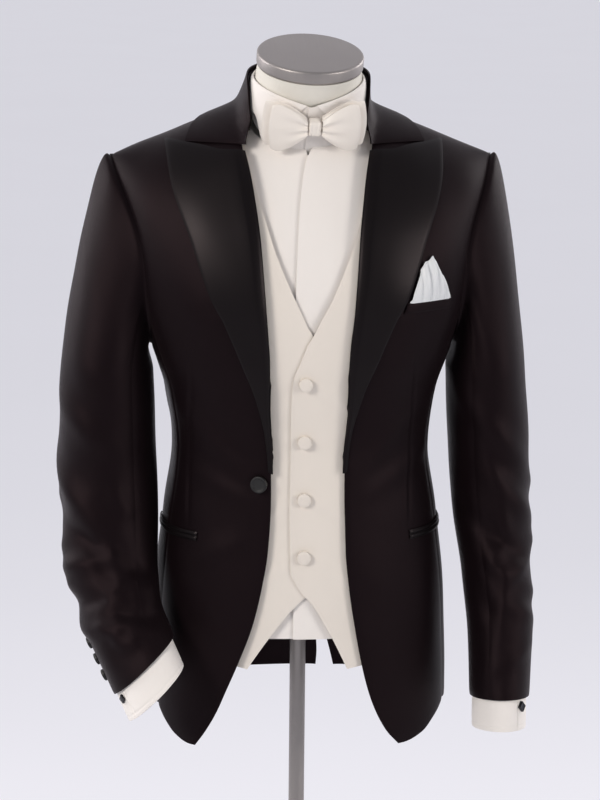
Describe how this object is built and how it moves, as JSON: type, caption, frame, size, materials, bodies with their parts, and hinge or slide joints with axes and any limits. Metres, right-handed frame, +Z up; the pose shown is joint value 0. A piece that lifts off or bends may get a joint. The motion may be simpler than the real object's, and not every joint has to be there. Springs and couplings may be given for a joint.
{
  "type": "wedding suit on a limbless dress form and stand",
  "caption": "Dinner jacket with peak lapels, buttoned waistcoat, double-cuff shirt and bow tie on a limbless dress form.",
  "frame": {"origin": "middle of the underside of the stand's round plate", "axes": "+Z up; the front of the suit faces -Y; +X is the wearer's left"},
  "size_m": [0.5703, 0.38, 1.593],
  "materials": {
    "jacket_cloth": "fine matt wool cloth with a soft sheen",
    "lapel_satin": "black satin, soft gloss",
    "waistcoat_cloth": "ivory satin weave, soft sheen",
    "shirt_cotton": "matt off-white poplin",
    "bow_satin": "ivory silk, soft sheen",
    "pocket_silk": "silver-white silk",
    "black_button": "polished black",
    "link_metal": "dark polished metal",
    "form_jersey": "cream jersey stretched over the form",
    "brushed_metal": "brushed grey metal"
  },
  "bodies": {
    "root": {"base_plate": "brushed_metal", "bow_band": "bow_satin", "bow_front_left": "bow_satin", "bow_front_right": "bow_satin", "bow_knot": "bow_satin", "bow_rear_left": "bow_satin", "bow_rear_right": "bow_satin", "breast_welt": "jacket_cloth", "cuff_button_left_1": "black_button", "cuff_button_left_2": "black_button", "cuff_button_left_3": "black_button", "cuff_button_left_4": "black_button", "cuff_button_right_1": "black_button", "cuff_button_right_2": "black_button", "cuff_button_right_3": "black_button", "cuff_button_right_4": "black_button", "cufflink_left": "link_metal", "cufflink_right": "link_metal", "form_torso": "form_jersey", "hip_pocket_left": "lapel_satin", "hip_pocket_right": "lapel_satin", "jacket_back_left": "jacket_cloth", "jacket_back_right": "jacket_cloth", "jacket_button": "black_button", "jacket_collar": "jacket_cloth", "jacket_collar_stand": "jacket_cloth", "jacket_front_left": "jacket_cloth", "jacket_front_right": "jacket_cloth", "jacket_side_left": "jacket_cloth", "jacket_side_right": "jacket_cloth", "lapel_left": "lapel_satin", "lapel_right": "lapel_satin", "neck_cap": "brushed_metal", "pocket_square": "pocket_silk", "pole": "brushed_metal", "shirt_back": "shirt_cotton", "shirt_collar_leaf": "shirt_cotton", "shirt_collar_stand": "shirt_cotton", "shirt_cuff_left": "shirt_cotton", "shirt_cuff_right": "shirt_cotton", "shirt_front_left": "shirt_cotton", "shirt_front_right": "shirt_cotton", "shirt_sleeve_left": "shirt_cotton", "shirt_sleeve_right": "shirt_cotton", "sleeve_top_left": "jacket_cloth", "sleeve_top_right": "jacket_cloth", "sleeve_under_left": "jacket_cloth", "sleeve_under_right": "jacket_cloth", "waistcoat_back_left": "waistcoat_cloth", "waistcoat_back_right": "waistcoat_cloth", "waistcoat_button_1": "waistcoat_cloth", "waistcoat_button_2": "waistcoat_cloth", "waistcoat_button_3": "waistcoat_cloth", "waistcoat_button_4": "waistcoat_cloth", "waistcoat_front_left": "waistcoat_cloth", "waistcoat_front_right": "waistcoat_cloth"}
  },
  "joints": []
}
